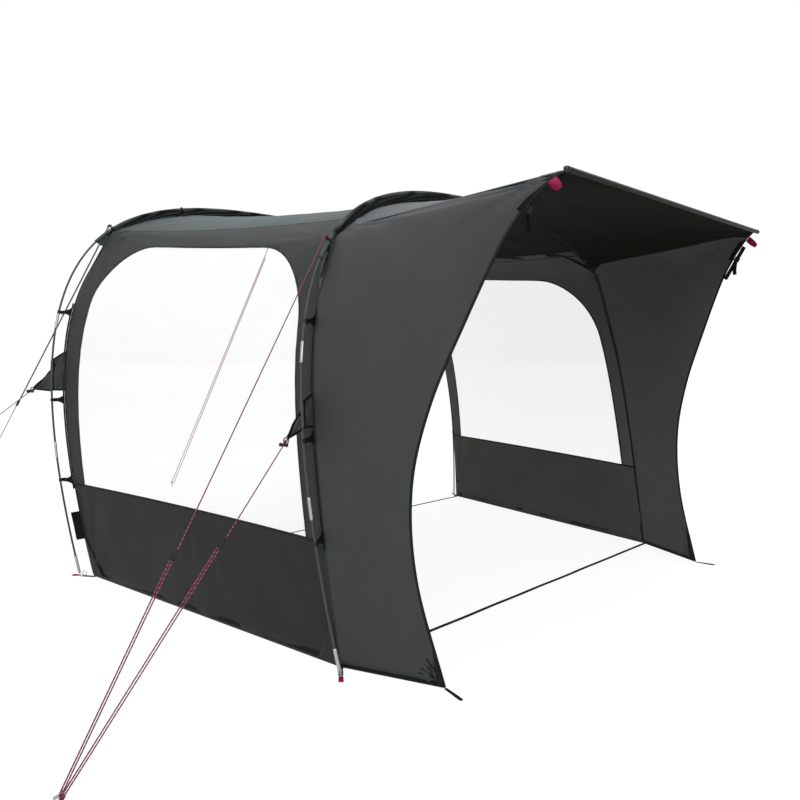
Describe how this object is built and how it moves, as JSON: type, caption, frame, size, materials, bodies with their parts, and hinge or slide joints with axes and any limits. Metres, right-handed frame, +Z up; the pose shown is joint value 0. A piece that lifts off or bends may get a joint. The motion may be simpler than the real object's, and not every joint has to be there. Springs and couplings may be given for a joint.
{
  "type": "drive-away campervan awning",
  "caption": "Tunnel awning on pole arches with clear side windows, a sloping canopy and draught wings that meet a vehicle, held by guylines and pegs.",
  "frame": {"origin": "on the ground, midway between the feet of the inner arch, which stands next to the van", "axes": "+X across the tunnel, away from the guyline side; +Y out from the van; +Z up"},
  "size_m": [4.1488, 4.8503, 2.2638],
  "materials": {
    "black_plastic": "satin",
    "black_webbing": "matt woven",
    "clear_film": "clear glossy film",
    "crimson_cord": "matt braided",
    "crimson_webbing": "matt woven",
    "kick_cloth": "matt coated weave",
    "pole_fibre": "satin",
    "roof_cloth": "matt coated weave",
    "silver_metal": "satin",
    "wall_cloth": "matt coated weave"
  },
  "bodies": {
    "root": {"near_kick_panel": "kick_cloth", "near_wall": "wall_cloth", "near_window": "clear_film", "far_kick_panel": "kick_cloth", "far_wall": "wall_cloth", "far_window": "clear_film", "roof": "roof_cloth", "near_wing": "wall_cloth", "far_wing": "wall_cloth", "canopy": "roof_cloth", "inner_pole": "pole_fibre", "inner_sleeve": "roof_cloth", "near_inner_leg_clips": "black_plastic", "far_inner_leg_clips": "black_plastic", "outer_pole": "pole_fibre", "outer_sleeve": "roof_cloth", "near_outer_leg_clips": "black_plastic", "far_outer_leg_clips": "black_plastic", "near_inner_gusset": "black_webbing", "near_outer_gusset": "black_webbing", "shoulder_loop": "crimson_cord", "outer_loop": "crimson_cord", "near_inner_pin": "silver_metal", "far_inner_pin": "silver_metal", "inner_ground_strap": "black_webbing", "near_outer_pin": "silver_metal", "far_outer_pin": "silver_metal", "outer_ground_strap": "black_webbing", "van_bar": "pole_fibre", "bar_sleeve": "wall_cloth", "near_edge_strap": "black_webbing", "far_edge_strap": "black_webbing", "shoulder_guyline": "crimson_cord", "shoulder_guyline_return": "crimson_cord", "gusset_guyline": "crimson_cord", "gusset_guyline_return": "crimson_cord", "outer_guyline": "crimson_cord", "outer_guyline_return": "crimson_cord", "storm_guyline": "crimson_cord", "centre_guyline": "crimson_cord", "shoulder_peg": "silver_metal", "storm_peg": "silver_metal", "outer_peg": "silver_metal", "centre_peg": "silver_metal"},
    "near_bar_tab": {"near_bar_tab": "crimson_webbing"},
    "near_strap_buckle": {"near_strap_buckle": "black_plastic"},
    "near_zip_slider": {"near_zip_slider": "black_plastic"},
    "near_inner_peg_loop": {"near_inner_peg_loop": "crimson_webbing"},
    "near_outer_peg_loop": {"near_outer_peg_loop": "crimson_webbing"},
    "near_wing_peg_loop": {"near_wing_peg_loop": "black_webbing"},
    "far_bar_tab": {"far_bar_tab": "crimson_webbing"},
    "far_strap_buckle": {"far_strap_buckle": "black_plastic"},
    "far_zip_slider": {"far_zip_slider": "black_plastic"},
    "far_inner_peg_loop": {"far_inner_peg_loop": "crimson_webbing"},
    "far_outer_peg_loop": {"far_outer_peg_loop": "crimson_webbing"},
    "far_wing_peg_loop": {"far_wing_peg_loop": "black_webbing"},
    "flag_label": {"flag_label": "black_webbing"},
    "shoulder_runner": {"shoulder_runner": "black_plastic"},
    "gusset_runner": {"gusset_runner": "black_plastic"},
    "outer_runner": {"outer_runner": "black_plastic"}
  },
  "joints": [
    {"name": "near_tab_swing", "type": "hinge", "parent": "root", "child": "near_bar_tab", "pos_m": [-0.93218, -0.72382, 1.87291], "axis": [0.4106, -0.6745, 0.6136], "range_deg": [-15, 50]},
    {"name": "near_buckle_slide", "type": "slide", "parent": "root", "child": "near_strap_buckle", "axis": [0.2532, -0.5547, 0.7926], "range_m": [-0.03, 0.01]},
    {"name": "near_zip_slide", "type": "slide", "parent": "root", "child": "near_zip_slider", "axis": [0.0154, 0.1633, 0.9865], "range_m": [0, 0.12]},
    {"name": "near_inner_loop_lift", "type": "hinge", "parent": "root", "child": "near_inner_peg_loop", "pos_m": [-1.35443, -0.0641, 0.0031], "axis": [-0.7846, 0.6201, 0], "range_deg": [0, 50]},
    {"name": "near_outer_loop_lift", "type": "hinge", "parent": "root", "child": "near_outer_peg_loop", "pos_m": [-1.61539, 1.93917, 0.0031], "axis": [0.8137, 0.5812, 0], "range_deg": [0, 50]},
    {"name": "near_wing_loop_lift", "type": "hinge", "parent": "root", "child": "near_wing_peg_loop", "pos_m": [-1.13414, -0.41658, 0.00285], "axis": [-0.9724, 0.2334, 0], "range_deg": [0, 70]},
    {"name": "far_tab_swing", "type": "hinge", "parent": "root", "child": "far_bar_tab", "pos_m": [0.93218, -0.72382, 1.87291], "axis": [0.4106, 0.6745, -0.6136], "range_deg": [-15, 50]},
    {"name": "far_buckle_slide", "type": "slide", "parent": "root", "child": "far_strap_buckle", "axis": [-0.2532, -0.5547, 0.7926], "range_m": [-0.03, 0.01]},
    {"name": "far_zip_slide", "type": "slide", "parent": "root", "child": "far_zip_slider", "axis": [-0.0154, 0.1633, 0.9865], "range_m": [0, 0.12]},
    {"name": "far_inner_loop_lift", "type": "hinge", "parent": "root", "child": "far_inner_peg_loop", "pos_m": [1.35443, -0.0641, 0.0031], "axis": [-0.7846, -0.6201, 0], "range_deg": [0, 50]},
    {"name": "far_outer_loop_lift", "type": "hinge", "parent": "root", "child": "far_outer_peg_loop", "pos_m": [1.61539, 1.93917, 0.0031], "axis": [0.8137, -0.5812, 0], "range_deg": [0, 50]},
    {"name": "far_wing_loop_lift", "type": "hinge", "parent": "root", "child": "far_wing_peg_loop", "pos_m": [1.13414, -0.41658, 0.00285], "axis": [-0.9724, -0.2334, 0], "range_deg": [0, 70]},
    {"name": "label_flap", "type": "hinge", "parent": "root", "child": "flag_label", "pos_m": [-1.60093, 1.91705, 0.2958], "axis": [-0.1151, 0.1665, 0.9793], "range_deg": [-50, 50]},
    {"name": "shoulder_runner_slide", "type": "slide", "parent": "root", "child": "shoulder_runner", "axis": [-0.5808, -0.182, -0.7934], "range_m": [-0.2, 0.2], "deforming": ["shoulder_guyline_return"]},
    {"name": "gusset_runner_slide", "type": "slide", "parent": "root", "child": "gusset_runner", "axis": [-0.7107, -0.1833, -0.6792], "range_m": [-0.2, 0.2], "deforming": ["gusset_guyline_return"]},
    {"name": "outer_runner_slide", "type": "slide", "parent": "root", "child": "outer_runner", "axis": [-0.2819, 0.4681, -0.8375], "range_m": [-0.2, 0.2], "deforming": ["outer_guyline_return"]}
  ]
}
